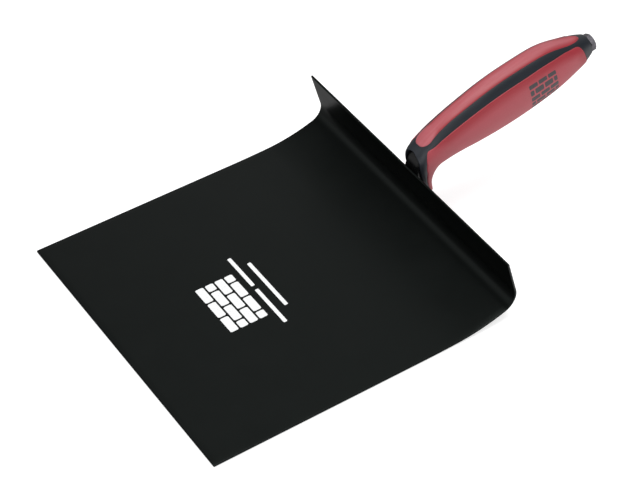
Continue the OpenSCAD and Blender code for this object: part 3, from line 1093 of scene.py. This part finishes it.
# ------------------------------------------------------------------ floor and light
floor = new_object("floor", [(-6, -6, 0), (6, -6, 0), (6, 6, 0), (-6, 6, 0)], [(0, 1, 2, 3)], unit=1.0)
floor.location.z = -0.0004
fm = bpy.data.materials.new("floor_white")
nt, b = nodes_of(fm)
fv = coords(nt, 1.0)
nt.links.new(ramp(nt, noise(nt, fv, 3.0, 2.0), [(0.3, (0.49, 0.49, 0.49)), (0.7, (0.51, 0.51, 0.51))]), b.inputs["Base Color"])
b.inputs["Roughness"].default_value = 0.9
b.inputs["Specular IOR Level"].default_value = 0.1
b.inputs["Emission Color"].default_value = (1.0, 1.0, 1.0, 1.0)
b.inputs["Emission Strength"].default_value = 0.72
floor.visible_glossy = False
floor.data.materials.append(fm)

world = bpy.data.worlds.new("studio")
scene.world = world
world.use_nodes = True
wn = world.node_tree
wn.nodes.clear()
wo = wn.nodes.new("ShaderNodeOutputWorld")
bg = wn.nodes.new("ShaderNodeBackground")
bg.inputs["Color"].default_value = (1.0, 1.0, 1.0, 1.0)
wn.links.new(bg.outputs["Background"], wo.inputs["Surface"])
# a soft surround, brighter behind the trowel than in front of it
wtc = wn.nodes.new("ShaderNodeTexCoord")
wxyz = wn.nodes.new("ShaderNodeSeparateXYZ")
wn.links.new(wtc.outputs["Generated"], wxyz.inputs["Vector"])
wmr = wn.nodes.new("ShaderNodeMapRange")
wmr.interpolation_type = "SMOOTHSTEP"
for k, v in (("From Min", 0.0), ("From Max", 0.46), ("To Min", 0.25), ("To Max", 0.85)):
    wmr.inputs[k].default_value = v
wn.links.new(wxyz.outputs["Y"], wmr.inputs["Value"])
# a low bright wall in front, which the lip's bend picks up as a thin line
wfr = wn.nodes.new("ShaderNodeMapRange")
wfr.interpolation_type = "SMOOTHSTEP"
for k, v in (("From Min", -0.62), ("From Max", -0.76), ("To Min", 0.0), ("To Max", 0.75)):
    wfr.inputs[k].default_value = v
wn.links.new(wxyz.outputs["Y"], wfr.inputs["Value"])
wup = wn.nodes.new("ShaderNodeMath")
wup.operation = "ADD"
wn.links.new(wmr.outputs["Result"], wup.inputs[0])
wn.links.new(wfr.outputs["Result"], wup.inputs[1])
# dimmer far behind and above on the right, which the blade does not mirror
wbk = wn.nodes.new("ShaderNodeMapRange")
wbk.interpolation_type = "SMOOTHSTEP"
for k, v in (("From Min", 0.58), ("From Max", 0.90), ("To Min", 1.0), ("To Max", 0.35)):
    wbk.inputs[k].default_value = v
wn.links.new(wxyz.outputs["Y"], wbk.inputs["Value"])
wmb = wn.nodes.new("ShaderNodeMath")
wmb.operation = "MULTIPLY"
wn.links.new(wup.outputs[0], wmb.inputs[0])
wn.links.new(wbk.outputs["Result"], wmb.inputs[1])
wdr = wn.nodes.new("ShaderNodeMapRange")
wdr.interpolation_type = "SMOOTHSTEP"
for k, v in (("From Min", -0.25), ("From Max", 0.30), ("To Min", 1.0), ("To Max", 0.28)):
    wdr.inputs[k].default_value = v
wn.links.new(wxyz.outputs["X"], wdr.inputs["Value"])
wml = wn.nodes.new("ShaderNodeMath")
wml.operation = "MULTIPLY"
wn.links.new(wmb.outputs[0], wml.inputs[0])
wn.links.new(wdr.outputs["Result"], wml.inputs[1])
# what gloss sees below the horizon: paler on the right
wrt = wn.nodes.new("ShaderNodeMapRange")
wrt.interpolation_type = "SMOOTHSTEP"
for k, v in (("From Min", -0.10), ("From Max", 0.45), ("To Min", 0.38), ("To Max", 1.60)):
    wrt.inputs[k].default_value = v
wn.links.new(wxyz.outputs["X"], wrt.inputs["Value"])
wlow = wn.nodes.new("ShaderNodeMapRange")
for k, v in (("From Min", -0.12), ("From Max", 0.02), ("To Min", 0.0), ("To Max", 1.0)):
    wlow.inputs[k].default_value = v
wn.links.new(wxyz.outputs["Z"], wlow.inputs["Value"])
wmx = wn.nodes.new("ShaderNodeMix")
wmx.data_type = "FLOAT"
wn.links.new(wlow.outputs["Result"], wmx.inputs[0])
wn.links.new(wrt.outputs["Result"], wmx.inputs[2])
wn.links.new(wml.outputs[0], wmx.inputs[3])
# the backdrop itself is plain pale
wlp = wn.nodes.new("ShaderNodeLightPath")
wbd = wn.nodes.new("ShaderNodeMix")
wbd.data_type = "FLOAT"
wn.links.new(wlp.outputs["Is Camera Ray"], wbd.inputs[0])
wn.links.new(wmx.outputs[0], wbd.inputs[2])
wbd.inputs[3].default_value = 1.0
wn.links.new(wbd.outputs[0], bg.inputs["Strength"])


def area(name, loc, target, size, power, size_y=None):
    d = bpy.data.lights.new(name, "AREA")
    d.shape = "RECTANGLE"
    d.size = size
    d.size_y = size_y or size
    d.energy = power
    o = bpy.data.objects.new(name, d)
    scene.collection.objects.link(o)
    o.location = loc
    o.rotation_euler = (Vector(target) - Vector(loc)).to_track_quat("-Z", "Y").to_euler()
    return o


area("top", (0.15, 0.0, 2.3), (0, 0.08, 0), 1.5, 50.0)
area("side", (2.05, -1.15, 1.0), (0, 0.11, 0.03), 1.5, 17.5)
